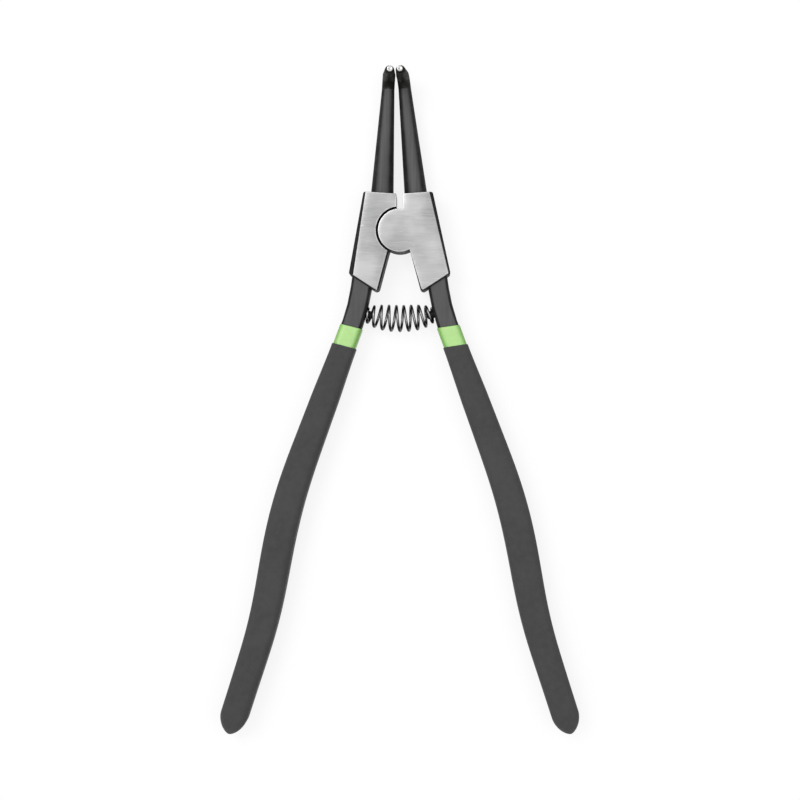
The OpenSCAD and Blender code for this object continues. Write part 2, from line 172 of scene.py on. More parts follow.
class Handle:
    """Centre line and sections of a handle, from its root in the head to its rounded end.

    Lengths are measured along the curve from the root, and shares are of the handle's length.
    """
    STEP = 0.001  # between points of the centre line
    LEAD = 0.006  # of the curve, inside the head
    ROOT_LEAD, ROOT_OVER = 0.002, 0.005  # the root's turn starts before and outlasts the neck
    WAIST_FROM, WAIST_RUN = 0.35, 0.29  # shares of the turn to the waist
    FLARE_FROM, FLARE_RUN = 0.64, 0.21  # shares of the turn out to the end
    WIDEST = 0.55  # share at which the tang is widest
    LIP_STEPS = 5
    DIP_RUN = 0.028  # in which a dip fills out below its lip
    END_LEN = 0.009  # rounded end
    END_STEPS, END_STEP = 18, math.radians(4.8)
    END_BLUNT, END_FULL = 1.75, 0.64  # powers that shape the rounded end

    def __init__(self, sizes):
        self.z = sizes
        self.mid = JOINT_LOW + sizes.joint_t / 2
        self.dips = sizes.dip_in + sizes.dip_out
        self.tang_t = sizes.joint_t - 2 * self.dips
        self.tang_len = sizes.handle_len - self.dips
        self.grip_from = sizes.neck_len + sizes.band_len
        a = sizes.slope_root
        x = sizes.root_x - self.LEAD * math.sin(a)
        y = -sizes.root_y + self.LEAD * math.cos(a)
        self.points = [(x, y)]
        steps = int(math.ceil((sizes.handle_len + self.LEAD) / self.STEP)) + 2
        for i in range(steps):
            a = self.slope(i * self.STEP - self.LEAD)
            x += self.STEP * math.sin(a)
            y -= self.STEP * math.cos(a)
            self.points.append((x, y))

    def slope(self, s):
        """Slope of the centre line at s."""
        z, share = self.z, s / self.z.handle_len
        a = z.slope_root
        a += (z.slope_upper - a) * ease((s + self.ROOT_LEAD) / (z.neck_len + self.ROOT_OVER))
        a += (z.slope_waist - z.slope_upper) * ease((share - self.WAIST_FROM) / self.WAIST_RUN)
        a += (z.slope_end - z.slope_waist) * ease((share - self.FLARE_FROM) / self.FLARE_RUN)
        return a

    def along(self, s):
        """Point of the centre line at s."""
        t = (s + self.LEAD) / self.STEP
        i = int(math.floor(t))
        (x0, y0), (x1, y1) = self.points[i], self.points[i + 1]
        return x0 + (x1 - x0) * (t - i), y0 + (y1 - y0) * (t - i)

    def width(self, s):
        """Width of the bare tang at s."""
        z, widest = self.z, self.WIDEST * self.z.handle_len
        if s < widest:
            t = (s - self.grip_from) / (widest - self.grip_from)
            return z.tang_w + (z.tang_mid_w - z.tang_w) * ease(t)
        t = (s - widest) / (z.handle_len - self.END_LEN - widest)
        return z.tang_mid_w + (z.tang_end_w - z.tang_mid_w) * ease(t)

    def ring(self, s, off, k, side, soft=0.0, slant=0.0, corner_steps=8):
        """Points round the handle at s, off outside the tang, shrunk by k and then rounder.

        soft eases the corners further, and slant leans the ring along the handle.
        """
        w, t = self.width(s) + 2 * off, self.tang_t + 2 * off
        r = self.z.tang_round + off + soft
        r += (min(w, t) / 2 - r) * (1 - k)
        out = []
        for q in range(4):
            sx, sz = (1 if q in (0, 3) else -1), (1 if q < 2 else -1)
            for i in range(corner_steps + 1):
                b = math.pi / 2 * (q + i / corner_steps)
                u = k * (sx * (w / 2 - r) + r * math.cos(b))
                v = k * (sz * (t / 2 - r) + r * math.sin(b))
                (x, y), a = self.along(s + slant * u), self.slope(s + slant * u)
                x, y = x + u * math.cos(a), y + u * math.sin(a)
                out.append(Vector((side * x, y, self.mid + v)))
        return out

    def layer(self, s0, off, side, lip, slant, soft=0.0, thin=0.0, spacing=0.0022):
        """Rings from a rounded lip at s0 to the end, and the point that closes them.

        A dip that ran down has a leaning lip, is thinner there, and is full and square to the
        handle after DIP_RUN.
        """
        end, s1 = self.tang_len + off, self.tang_len - self.END_LEN
        rings = []
        for i in range(self.LIP_STEPS if lip else 0):
            b = math.pi / 2 * i / self.LIP_STEPS
            s, low = s0 + lip * (1 - math.cos(b)), lip * (1 - math.sin(b))
            rings.append(self.ring(s, off - thin - low, 1, side, soft, slant))
        n = int(round((s1 - s0 - lip) / spacing))
        for i in range(n + 1):
            s = s0 + lip + (s1 - s0 - lip) * i / n
            full = ease((s - s0 - lip) / self.DIP_RUN)
            rings.append(self.ring(s, off - thin * (1 - full), 1, side, soft, slant * (1 - full)))
        for i in range(1, self.END_STEPS + 1):
            u = math.sin(i * self.END_STEP)
            k = (1 - u ** self.END_BLUNT) ** self.END_FULL
            rings.append(self.ring(s1 + (end - s1) * u, off, k, side, soft))
        x, y = self.along(end)
        return rings, Vector((side * x, y, self.mid))

    def seat(self):
        """Foot of the spring in the right tang's inner edge, and the tang's slope there."""
        a = self.slope(self.z.peg_at)
        x, y = self.along(self.z.peg_at)
        in_ = self.width(self.z.peg_at) / 2 - self.z.seat_deep
        return x - in_ * math.cos(a), y - in_ * math.sin(a), a


class Jaw:
    """The tapered jaw of a half, its bend and its bent tip, drawn on the right."""
    FOOT_IN, FOOT_SUNK = 0.00125, 0.001  # foot inside the middle of the head's top and below it
    BAR_SUNK, BAR_OVER = 0.004, 0.0004  # bar below its foot and into the bend
    LIP = 0.0003  # rounding of the shoulder
    BEND_STEPS, TAPER_STEPS, LIP_STEPS = 16, 6, 3

    def __init__(self, sizes, lean):
        self.z = z = sizes
        mid = JOINT_LOW + z.joint_t / 2
        foot = Vector(((z.notch_w + z.head_top_w) / 2 - self.FOOT_IN,
                       z.head_top - self.FOOT_SUNK, mid))
        run = Vector((z.bend_half, z.tip_reach, mid)) - foot
        toe = math.atan2(-run.x, run.y)
        rise = z.joint_t / 2 + z.tip_rise
        tilt = math.atan2((z.bend_half - z.shoulder_r - z.tip_gap / 2) / math.cos(toe), rise)
        self.run = run.length - z.bend_turn
        self.tip_len = rise / math.cos(tilt) - z.bend_turn
        turned = Matrix.Rotation(lean, 4, "Z") @ Matrix.Translation(foot)
        self.bar_at = turned @ Matrix.Rotation(toe, 4, "Z")
        self.tip_at = self.bar_at @ Matrix.Rotation(-tilt, 4, "Y")

    def bar(self, side, steps=26, around=72):
        """Rings of the straight bar, round at its sides and crowned in front and behind."""
        z, rings = self.z, []
        turns = [2 * math.pi * j / around for j in range(around)]
        for i in range(steps + 1):
            y = (self.run + self.BAR_SUNK + self.BAR_OVER) * i / steps - self.BAR_SUNK
            r = z.jaw_r + (z.bend_r - z.jaw_r) * y / self.run
            high = z.jaw_flat * r
            rings.append([self.place(self.bar_at, (r * math.cos(a), y, high * math.sin(a)), side)
                          for a in turns])
        return rings

    def tip(self, side, around=48):
        """Rings of the bend and of the upright tip, up to its rounded shoulder."""
        z, spine = self.z, []
        for i in range(self.BEND_STEPS + 1):
            b = math.pi / 2 * i / self.BEND_STEPS
            spine.append((self.run + z.bend_turn * math.sin(b),
                          z.bend_turn * (1 - math.cos(b)), b, z.bend_r))
        y, lip = self.run + z.bend_turn, self.LIP
        n = self.TAPER_STEPS
        for i in range(1, n + 1):
            r = z.bend_r + (z.shoulder_r - z.bend_r) * i / n
            spine.append((y, z.bend_turn + (self.tip_len - lip) * i / n, math.pi / 2, r))
        for i in range(1, self.LIP_STEPS + 1):
            b = math.pi / 2 * i / self.LIP_STEPS
            spine.append((y, z.bend_turn + self.tip_len - lip * (1 - math.sin(b)), math.pi / 2,
                          z.shoulder_r - lip * (1 - math.cos(b))))
        rings = []
        for y, up, b, r in spine:
            ring = []
            for j in range(around):
                a = 2 * math.pi * j / around
                out = r * math.sin(a)
                at = (r * math.cos(a), y - out * math.sin(b), up + out * math.cos(b))
                ring.append(self.place(self.tip_at, at, side))
            rings.append(ring)
        return rings

    def place(self, matrix, at, side):
        """A point of the right jaw, or of the left one, which is its mirror image."""
        p = matrix @ Vector(at)
        return Vector((side * p.x, p.y, p.z))


# Mesh helpers

def finish_mesh(bm, name, materials, crease=None):
    """Turns bm into an object with smooth faces and these materials."""
    bmesh.ops.recalc_face_normals(bm, faces=bm.faces)
    mesh = bpy.data.meshes.new(name)
    for face in bm.faces:
        face.smooth = True
    if crease:
        for edge in bm.edges:
            edge.smooth = len(edge.link_faces) == 2 and edge.calc_face_angle(0.0) < crease
    bm.to_mesh(mesh)
    bm.free()
    for extra in [a.name for a in mesh.attributes if a.name == "custom_normal"]:
        mesh.attributes.remove(mesh.attributes[extra])
    for material in materials:
        mesh.materials.append(material)
    piece = bpy.data.objects.new(name, mesh)
    bpy.context.scene.collection.objects.link(piece)
    return piece


def bridge(bm, a, b):
    """Faces between two rows of as many corners."""
    for j in range(len(a)):
        k = (j + 1) % len(a)
        bm.faces.new((a[j], a[k], b[k], b[j]))


def skin(bm, rings, tip=None):
    """Faces between rings of equal length, closed at the last ring by a point if it is given."""
    rows = [[bm.verts.new(p) for p in ring] for ring in rings]
    for a, b in zip(rows, rows[1:]):
        bridge(bm, a, b)
    if tip is not None:
        point, last = bm.verts.new(tip), rows[-1]
        for j in range(len(last)):
            bm.faces.new((last[j], last[(j + 1) % len(last)], point))
    return rows


def cap(bm, rows):
    """Closes both ends of a skin."""
    return [bm.faces.new(rows[0]), bm.faces.new(rows[-1])]


def lathe(profile, centre, around=64):
    """Rings of a turned piece from (radius, height) pairs about a vertical line."""
    turns = [2 * math.pi * j / around for j in range(around)]
    return [[centre + Vector((r * math.cos(b), r * math.sin(b), h)) for b in turns]
            for r, h in profile]


def even_normals(piece):
    """Keeps large flat faces flat beside their small rounded edges."""
    weighted = piece.modifiers.new("Flat faces stay flat", "WEIGHTED_NORMAL")
    weighted.mode = "FACE_AREA"
    weighted.keep_sharp = True
    return piece


# Shader helpers and the effects that more than one finish uses

def feed(tree, value, slot):
    """Links a socket to an input, or sets the input to a value."""
    if isinstance(value, bpy.types.NodeSocket):
        tree.links.new(value, slot)
    else:
        slot.default_value = value


def put(tree, kind, at, *feeds, **values):
    """A shader node at a place.

    The feeds go to its first inputs in order, and the values to settings or inputs by name.
    """
    node = tree.nodes.new("ShaderNode" + kind)
    node.location = at
    for key, value in values.items():
        if hasattr(node, key):
            setattr(node, key, value)
        else:
            feed(tree, value, node.inputs[key.replace("_", " ")])
    for value, slot in zip(feeds, node.inputs):
        feed(tree, value, slot)
    return node


def calc(tree, operation, at, *feeds):
    """The result of an operation on values or sockets."""
    return put(tree, "Math", at, *feeds, operation=operation).outputs[0]


def mix(tree, kind, fac, a, b, at):
    """Mixes two numbers, vectors or colours, each given as a value or a socket."""
    first = {"FLOAT": 2, "VECTOR": 4, "RGBA": 6}[kind]
    node = put(tree, "Mix", at, fac, data_type=kind)
    feed(tree, a, node.inputs[first])
    feed(tree, b, node.inputs[first + 1])
    return node.outputs[first // 2 - 1]


def ramp(tree, value, span, reach, at):
    """Takes a value softly from one end of reach to the other while it crosses span."""
    node = put(tree, "MapRange", at, value, *span, *reach, interpolation_type="SMOOTHSTEP")
    return node.outputs["Result"]


def new_group(name, inputs, outputs):
    """An empty shader group with named sockets."""
    group = bpy.data.node_groups.new(name, "ShaderNodeTree")
    for label, value in inputs:
        socket = group.interface.new_socket(name=label, in_out="INPUT",
                                            socket_type="NodeSocketFloat")
        socket.default_value = value
    for label in outputs:
        group.interface.new_socket(name=label, in_out="OUTPUT", socket_type="NodeSocketFloat")
    start, out = group.nodes.new("NodeGroupInput"), group.nodes.new("NodeGroupOutput")
    start.location, out.location = (-900, 0), (700, 0)
    return group, start, out


def shared(name):
    """Marks the maker of a shader group, which is made once and then found by its name."""
    def mark(make):
        return lambda: bpy.data.node_groups.get(name) or make(name)
    return mark


@shared("Grinding marks")
def grinding_marks(name):
    """Fine streaks along X, as a grinding belt leaves them, with a slow change of depth."""
    g, start, out = new_group(name, [("Along", 90.0), ("Across", 5200.0), ("Patch", 160.0)],
                              ["Streak", "Patchiness"])
    place = put(g, "TexCoord", (-900, 250))
    stretch = put(g, "CombineXYZ", (-650, 0), *(start.outputs[key] for key in
                                                ("Along", "Across", "Across")))
    scaled = put(g, "VectorMath", (-450, 150), place.outputs["Object"], stretch.outputs[0],
                 operation="MULTIPLY")
    fine = put(g, "TexNoise", (-200, 150), Vector=scaled.outputs[0], Scale=1.0, Detail=3.0,
               Roughness=0.6)
    slow = put(g, "TexNoise", (-200, -200), Vector=place.outputs["Object"],
               Scale=start.outputs["Patch"], Detail=2.0)
    g.links.new(fine.outputs["Fac"], out.inputs["Streak"])
    g.links.new(slow.outputs["Fac"], out.inputs["Patchiness"])
    return g


@shared("Fine grain")
def fine_grain(name):
    """Small even grain over slow mottling, for coatings and dips."""
    g, start, out = new_group(name, [("Grain", 2600.0), ("Mottle", 120.0)], ["Grain", "Mottle"])
    place = put(g, "TexCoord", (-900, 250))
    for key, y, detail, rough in (("Grain", 150, 2.0, 0.55), ("Mottle", -200, 4.0, 0.6)):
        noise = put(g, "TexNoise", (-200, y), Vector=place.outputs["Object"],
                    Scale=start.outputs[key], Detail=detail, Roughness=rough)
        g.links.new(noise.outputs["Fac"], out.inputs[key])
    return g


@shared("Worn edges")
def worn_edges(name):
    """A mask that is 1 on edges, broken up by noise."""
    g, start, out = new_group(name, [("Reach", 0.0006), ("Break up", 900.0), ("Broken", 0.42)],
                              ["Wear"])
    soft = put(g, "Bevel", (-650, 200), samples=6, Radius=start.outputs["Reach"])
    true = put(g, "NewGeometry", (-650, -50))
    near = put(g, "VectorMath", (-420, 150), soft.outputs["Normal"], true.outputs["Normal"],
               operation="DOT_PRODUCT")
    edge = ramp(g, near.outputs["Value"], (0.985, 0.88), (0.0, 1.0), (-200, 150))
    place = put(g, "TexCoord", (-650, -300))
    noise = put(g, "TexNoise", (-420, -300), Vector=place.outputs["Object"],
                Scale=start.outputs["Break up"], Detail=3.0)
    broken = start.outputs["Broken"]
    full = calc(g, "ADD", (-420, -520), broken, 0.2)
    gate = ramp(g, noise.outputs["Fac"], (broken, full), (0.0, 1.0), (-200, -250))
    wear = calc(g, "MULTIPLY", (200, 50), edge, gate)
    g.links.new(wear, out.inputs["Wear"])
    return g


@shared("Level faces")
def level_faces(name):
    """A mask that is 1 where the surface lies level, in front or behind, and 0 where it stands."""
    g, start, out = new_group(name, [("Starts", 0.89), ("Full", 1.0)], ["Level"])
    place = put(g, "TexCoord", (-900, 250))
    split = put(g, "SeparateXYZ", (-650, 150), place.outputs["Normal"])
    size = calc(g, "ABSOLUTE", (-450, 150), split.outputs["Z"])
    span = start.outputs["Starts"], start.outputs["Full"]
    g.links.new(ramp(g, size, span, (0.0, 1.0), (-200, 150)), out.inputs["Level"])
    return g


def place_group(tree, group, at, **values):
    """A shared effect in a material, with its own values."""
    return put(tree, "Group", at, node_tree=group, **values)


def finish(name, **values):
    """A new material with its shader, to which the caller adds what varies."""
    material = bpy.data.materials.new(name)
    material.use_nodes = True
    tree = material.node_tree
    shader = tree.nodes["Principled BSDF"]
    for key, value in values.items():
        shader.inputs[key.replace("_", " ")].default_value = value
    return material, tree, shader


def spread(tree, value, low, high, at):
    """Maps a 0 to 1 value to a span."""
    return put(tree, "MapRange", at, value, 0.0, 1.0, low, high).outputs["Result"]


def blend_colours(tree, fac, a, b, at):
    """Mixes two colours, each given as a colour or a socket."""
    a, b = (v if isinstance(v, bpy.types.NodeSocket) else (*v, 1.0) for v in (a, b))
    return mix(tree, "RGBA", fac, a, b, at)


def bump(tree, height, strength, distance, shader, at):
    """Relief from a height, linked to the shader."""
    node = put(tree, "Bump", at, Strength=strength, Distance=distance, Height=height)
    tree.links.new(node.outputs["Normal"], shader.inputs["Normal"])
    return node


def times(colour_value, k):
    """A colour made lighter or darker."""
    return tuple(min(1.0, c * k) for c in colour_value)


def varied(tree, mask, tone, low, high, at):
    """A colour that goes from darker to lighter with a mask."""
    return blend_colours(tree, mask, times(tone, low), times(tone, high), at)


def lay_on(tree, shader, tone, rough):
    """Links a colour and a roughness to the shader."""
    tree.links.new(tone, shader.inputs["Base Color"])
    tree.links.new(rough, shader.inputs["Roughness"])


def ground_steel(colours):
    """Belt-ground satin faces of the joint, with a painted highlight on their worn edges."""
    material, tree, shader = finish("Ground steel", Metallic=1.0)
    marks = place_group(tree, grinding_marks(), (-1200, 100), Along=110.0, Across=3400.0,
                        Patch=55.0)
    deep = place_group(tree, grinding_marks(), (-1200, -250), Along=170.0, Across=2100.0,
                       Patch=420.0)
    tone = varied(tree, marks.outputs["Streak"], colours.ground, 0.62, 1.38, (-700, 300))
    cloud = ramp(tree, marks.outputs["Patchiness"], (0.36, 0.64), (0.0, 0.55), (-950, 60))
    tone = blend_colours(tree, cloud, tone, times(colours.ground, 1.6), (-480, 300))
    band = place_group(tree, grinding_marks(), (-1200, -600), Along=32.0, Across=140.0)
    dull = ramp(tree, band.outputs["Streak"], (0.40, 0.66), (0.0, 0.22), (-950, -600))
    tone = blend_colours(tree, dull, tone, times(colours.ground, 0.66), (-370, 300))
    score = ramp(tree, deep.outputs["Streak"], (0.60, 0.72), (0.0, 0.7), (-950, -250))
    tone = blend_colours(tree, score, tone, times(colours.ground, 1.5), (-260, 300))
    # Worn edges painted as a bright highlight, brighter than the satin face.
    wear = place_group(tree, worn_edges(), (-700, 550), Reach=0.0011, Break_up=500.0, Broken=0.30)
    rim = spread(tree, wear.outputs["Wear"], 0.0, 0.9, (-450, 550))
    tone = blend_colours(tree, rim, tone, times(colours.ground, 2.2), (-60, 300))
    rough = spread(tree, marks.outputs["Streak"], 0.28, 0.50, (-480, -50))
    lay_on(tree, shader, tone, rough)
    relief = bump(tree, marks.outputs["Streak"], 0.5, 0.00004, shader, (-300, -250))
    roll_off(tree, relief)
    return material


def roll_off(tree, relief, width=0.0065, clear_of=(0.0065, 0.0105), share=0.19):
    """Lets flat faces roll off a little over a width, clear of the blind bore at the pivot."""
    rolled = put(tree, "Bevel", (-950, -900), samples=16, Radius=width)
    true = put(tree, "NewGeometry", (-950, -1050))
    place = put(tree, "TexCoord", (-1450, -800))
    level = put(tree, "VectorMath", (-1250, -800), place.outputs["Object"], (1.0, 1.0, 0.0),
                operation="MULTIPLY")
    reach = put(tree, "VectorMath", (-1100, -800), level.outputs[0], operation="LENGTH")
    clear = ramp(tree, reach.outputs["Value"], clear_of, (0.0, share), (-950, -750))
    crown = mix(tree, "VECTOR", clear, true.outputs["Normal"], rolled.outputs["Normal"],
                (-700, -950))
    unit = put(tree, "VectorMath", (-500, -950), crown, operation="NORMALIZE")
    tree.links.new(unit.outputs[0], relief.inputs["Normal"])


def black_steel(colours, name="Blackened steel", side=None, rub_and_light=0.95, level=0.89, drawn_deep=0.55,
                gloss=0.24):
    """Blackened forging: flats worn grey and painted lighter as if lit, sides deep black with painted shade,
    edges worn a little brighter.

    rub_and_light is how far the flats take their lighter tone, partly rubbing and partly painted light,
    level the slope at which that starts, drawn_deep the depth of the marks along the bar, and gloss how much
    light the finish throws back.
    """
    side = side or colours.black_side_and_shade
    material, tree, shader = finish(name, Specular_IOR_Level=gloss)
    grain = place_group(tree, fine_grain(), (-1100, 0), Grain=1500.0, Mottle=180.0)
    wear = place_group(tree, worn_edges(), (-1100, -350))
    place = put(tree, "TexCoord", (-1500, 650))
    # Level faces take the lighter tone, partly rubbing and partly painted light from above; standing sides
    # keep the deep black, partly painted shade.
    lying = place_group(tree, level_faces(), (-900, 400), Starts=level)
    flat = spread(tree, lying.outputs["Level"], 0.0, rub_and_light, (-600, 400))
    rubbed_and_lit_tone = varied(tree, grain.outputs["Mottle"], colours.black_flat_rubbed_and_lit, 0.80, 1.20, (-800, 150))
    drawn = put(tree, "Mapping", (-1300, 650), place.outputs["Object"],
                Scale=(1100.0, 22.0, 300.0))
    lines = put(tree, "TexNoise", (-1100, 650), drawn.outputs[0], Scale=1.0, Detail=3.0,
                Roughness=0.6)
    line = spread(tree, lines.outputs["Fac"], 0.2 - drawn_deep, 0.2 + drawn_deep, (-900, 650))
    rubbed_and_lit_tone = blend_colours(tree, line, rubbed_and_lit_tone, times(colours.black_flat_rubbed_and_lit, 1.7), (-600, 150))
    scale = ramp(tree, grain.outputs["Mottle"], (0.35, 0.68), (0.0, 1.0), (-800, -20))
    skin_tone = varied(tree, scale, side, 0.6, 1.8, (-600, 0))
    tone = blend_colours(tree, flat, skin_tone, rubbed_and_lit_tone, (-350, 250))
    faint = spread(tree, wear.outputs["Wear"], 0.0, 0.26, (-600, -350))
    tone = blend_colours(tree, faint, tone, times(colours.ground, 0.5), (-150, 250))
    flat_rough = spread(tree, grain.outputs["Mottle"], 0.42, 0.60, (-600, -80))
    side_rough = spread(tree, scale, 0.66, 0.50, (-600, -200))
    lay_on(tree, shader, tone, mix(tree, "FLOAT", flat, side_rough, flat_rough, (-350, 0)))
    relief = calc(tree, "MULTIPLY_ADD", (-600, -550), grain.outputs["Mottle"], 1.4,
                  grain.outputs["Grain"])
    bump(tree, relief, 0.30, 0.00008, shader, (-350, -250))
    return material


def drawn_black(colours):
    """The round jaws, worn by rubbing along their crown and painted lighter there as if lit from above."""
    return black_steel(colours, "Drawn black steel", rub_and_light=1.0, level=0.80, drawn_deep=0.95)


def deep_black(colours):
    """The bent tips, which no grinding or rubbing has reached."""
    return black_steel(colours, "Deep black steel", colours.black_tip, rub_and_light=0.16, gloss=0.14)


def spring_black(colours):
    """Oiled black wire with a painted grey highlight along its crown in front and behind, and sides painted
    near black as shade.
    """
    material, tree, shader = finish("Black wire", Metallic=1.0)
    grain = place_group(tree, fine_grain(), (-900, 0), Grain=3200.0, Mottle=400.0)
    tone = varied(tree, grain.outputs["Mottle"], colours.wire, 0.5, 1.5, (-600, 150))
    # Painted highlight: level faces of the wire take the shine colour, and its sides are painted near black
    # as shade.
    crown = place_group(tree, level_faces(), (-600, 350), Starts=0.72, Full=0.99)
    tone = blend_colours(tree, crown.outputs["Level"], times(colours.wire, 0.015), tone,
                         (-350, 250))
    rough = spread(tree, grain.outputs["Mottle"], 0.20, 0.42, (-400, -80))
    lay_on(tree, shader, tone, rough)
    bump(tree, grain.outputs["Grain"], 0.08, 0.00003, shader, (-350, -250))
    return material


def bright_steel(colours):
    """Ground bright steel of the tip pins and the rivet."""
    material, tree, shader = finish("Bright steel", Metallic=1.0)
    marks = place_group(tree, grinding_marks(), (-800, 100), Along=1400.0, Across=5200.0)
    tone = varied(tree, marks.outputs["Streak"], colours.bright, 0.86, 1.1, (-400, 200))
    rough = spread(tree, marks.outputs["Streak"], 0.22, 0.36, (-400, -50))
    lay_on(tree, shader, tone, rough)
    bump(tree, marks.outputs["Streak"], 0.12, 0.00003, shader, (-300, -250))
    return material


def green_vinyl(colours):
    """Semi-gloss dip, a little cloudy, painted paler on its level faces as sheen and deeper in colour on its
    sides as shade.
    """
    material, tree, shader = finish("Green vinyl", Coat_Weight=0.4, Coat_Roughness=0.5,
                                    Subsurface_Weight=0.15, Subsurface_Scale=0.002)
    grain = place_group(tree, fine_grain(), (-800, 0), Grain=900.0, Mottle=220.0)
    tone = varied(tree, grain.outputs["Mottle"], colours.green, 0.9, 1.1, (-400, 150))
    # Painted sheen and shade: level faces keep the paler green, and the sides take the deeper green.
    lying = place_group(tree, level_faces(), (-600, 350), Starts=0.55, Full=0.98)
    tone = blend_colours(tree, lying.outputs["Level"], tuple(colours.green_flank_shade), tone,
                         (-200, 250))
    rough = spread(tree, grain.outputs["Mottle"], 0.3, 0.45, (-400, -80))
    lay_on(tree, shader, tone, rough)
    bump(tree, grain.outputs["Grain"], 0.06, 0.0001, shader, (-350, -250))
    return material


def grey_vinyl(colours):
    """Matte dip with a fine pebbled skin."""
    material, tree, shader = finish("Grey vinyl", Specular_IOR_Level=0.3, Sheen_Weight=0.12,
                                    Sheen_Roughness=0.6)
    grain = place_group(tree, fine_grain(), (-1000, 0), Grain=1700.0, Mottle=330.0)
    tone = varied(tree, grain.outputs["Mottle"], colours.grey, 0.72, 1.28, (-700, 150))
    handled = place_group(tree, fine_grain(), (-1000, 300), Mottle=48.0)
    shine = ramp(tree, handled.outputs["Mottle"], (0.42, 0.68), (0.0, 0.45), (-700, 350))
    tone = blend_colours(tree, shine, tone, times(colours.grey, 1.3), (-400, 250))
    rough = spread(tree, grain.outputs["Grain"], 0.62, 0.82, (-400, -80))
    lay_on(tree, shader, tone, rough)
    bump(tree, grain.outputs["Grain"], 0.5, 0.00012, shader, (-350, -250))
    return material


FINISHES = {"ground": ground_steel, "black": black_steel, "drawn": drawn_black, "deep": deep_black,
            "wire": spring_black, "bright": bright_steel, "green": green_vinyl, "grey": grey_vinyl}
made = {}


def material_for(key, context):
    """Each finish is built once."""
    if key not in made:
        made[key] = FINISHES[key](context.scene.pliers_colours)
    return made[key]


# Pieces

class PLIERS_OT_steel_halves(bpy.types.Operator):
    """Rounds the edges of the two forgings, parts their ground faces and draws their jaws"""
    bl_idname = "pliers.steel_halves"
    bl_label = "Steel halves"
    SAME_FLAT, CREASE, CORNER = (math.radians(v) for v in (0.4, 50, 32))
    CLOSE, HAIR = 7e-5, 2e-5  # corners that merge, and what counts as level
    COUNT_ALONG = (1.0, 0.617, 0.379)
    NEAR_TOP, NECK_OVER = 0.0017, 0.003  # about the head's top, and below the bare neck
    UPRIGHT, INWARD, BOSS_CLEAR = 0.3, -0.05, 1.02  # walls that face in, clear of the boss
    GROUND, NOTCH, NOTCH_WIDE, INSET = 0.55, 0.9, 1.4, 0.6  # which faces are ground

    def execute(self, context):
        sizes = context.scene.pliers_sizes
        finishes = [material_for(key, context) for key in ("black", "ground")]
        jaw_finishes = [material_for(key, context) for key in ("drawn", "deep")]
        for side, body, sign in SIDES:
            bm = bmesh.new()
            bm.from_mesh(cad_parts[side + "_half"].data)
            bmesh.ops.remove_doubles(bm, verts=bm.verts, dist=WELD)
            self.cut_jaw(bm, sizes)
            bmesh.ops.dissolve_limit(bm, angle_limit=self.SAME_FLAT, verts=bm.verts, edges=bm.edges)
            bmesh.ops.remove_doubles(bm, verts=bm.verts, dist=self.CLOSE)
            if body == FRONT:
                self.break_inner_edge(bm, sizes)
            self.round_edges(bm, sizes)
            self.count_along(bm)
            inset, wide = self.INSET * sizes.edge_round, self.NOTCH_WIDE * sizes.notch_w
            for face in bm.faces:
                at, out = face.calc_center_median(), face.normal
                between = JOINT_LOW + inset < at.z < JOINT_HIGH - inset
                flat = abs(out.z) > self.GROUND and not between
                notch = abs(out.x) > self.NOTCH and abs(at.x) < wide and at.y > 0
                face.material_index = int(flat or notch)
            piece = finish_mesh(bm, side + "_forging", finishes, crease=self.CREASE)
            even_normals(piece)
            jaw = Jaw(sizes, sign * sizes.jaw_lean)
            bm = bmesh.new()
            cap(bm, skin(bm, jaw.bar(sign)))
            old = set(bm.faces)
            cap(bm, skin(bm, jaw.tip(sign)))
            for face in bm.faces:
                face.material_index = int(face not in old)
            bar = finish_mesh(bm, side + "_jaw", jaw_finishes, crease=self.CREASE)
            for part in (piece, bar):
                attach(part, body)
                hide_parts(side + "_half")
        return {"FINISHED"}

    def cut_jaw(self, bm, sizes):
        """Takes the jaw off a hair below the head's top face and closes the head again."""
        tops = [f for f in bm.faces if f.normal.y > 0.98
                and abs(f.calc_center_median().y - sizes.head_top) < self.NEAR_TOP]
        top = max(tops, key=lambda f: f.calc_area())
        at, out = top.calc_center_median(), top.normal.copy()
        bmesh.ops.bisect_plane(bm, geom=bm.verts[:] + bm.edges[:] + bm.faces[:], dist=1e-7,
                               plane_co=at - out * self.HAIR, plane_no=out, clear_outer=True)
        bmesh.ops.holes_fill(bm, edges=[e for e in bm.edges if e.is_boundary])

    def break_inner_edge(self, bm, sizes):
        """Bevels the lower inner edge of the right half's front face, which stays black."""
        edges, clear = [], self.BOSS_CLEAR * sizes.boss_r
        for edge in bm.edges:
            level = all(abs(v.co.z - JOINT_HIGH) <= self.HAIR for v in edge.verts)
            if len(edge.link_faces) != 2 or not level:
                continue
            sides = [f.normal for f in edge.link_faces if abs(f.normal.z) < self.UPRIGHT]
            below = all(v.co.y < 0 and v.co.xy.length > clear for v in edge.verts)
            if below and len(sides) == 1 and sides[0].x < self.INWARD:
                edges.append(edge)
        bmesh.ops.bevel(bm, geom=edges, offset=sizes.inner_bevel, offset_type="OFFSET", segments=1,
                        profile=0.5, affect="EDGES", clamp_overlap=False)

    def round_edges(self, bm, sizes):
        """Rounds the sharp edges of the head and the neck."""
        neck = -(sizes.root_y + sizes.neck_len + self.NECK_OVER)
        corners = [e for e in bm.edges if len(e.link_faces) == 2
                   and e.calc_face_angle(0.0) > self.CORNER
                   and min(v.co.y for v in e.verts) > neck]
        bmesh.ops.bevel(bm, geom=corners, offset=sizes.edge_round, offset_type="OFFSET",
                        segments=2, profile=0.5, affect="EDGES", clamp_overlap=False)
        bmesh.ops.dissolve_degenerate(bm, edges=bm.edges, dist=2e-6)

    def count_along(self, bm):
        """Counts corners and faces along a line, since bevels leave their order open."""
        line = Vector(self.COUNT_ALONG)
        bm.verts.sort(key=lambda v: v.co.dot(line))
        bm.faces.sort(key=lambda f: f.calc_center_median().dot(line))


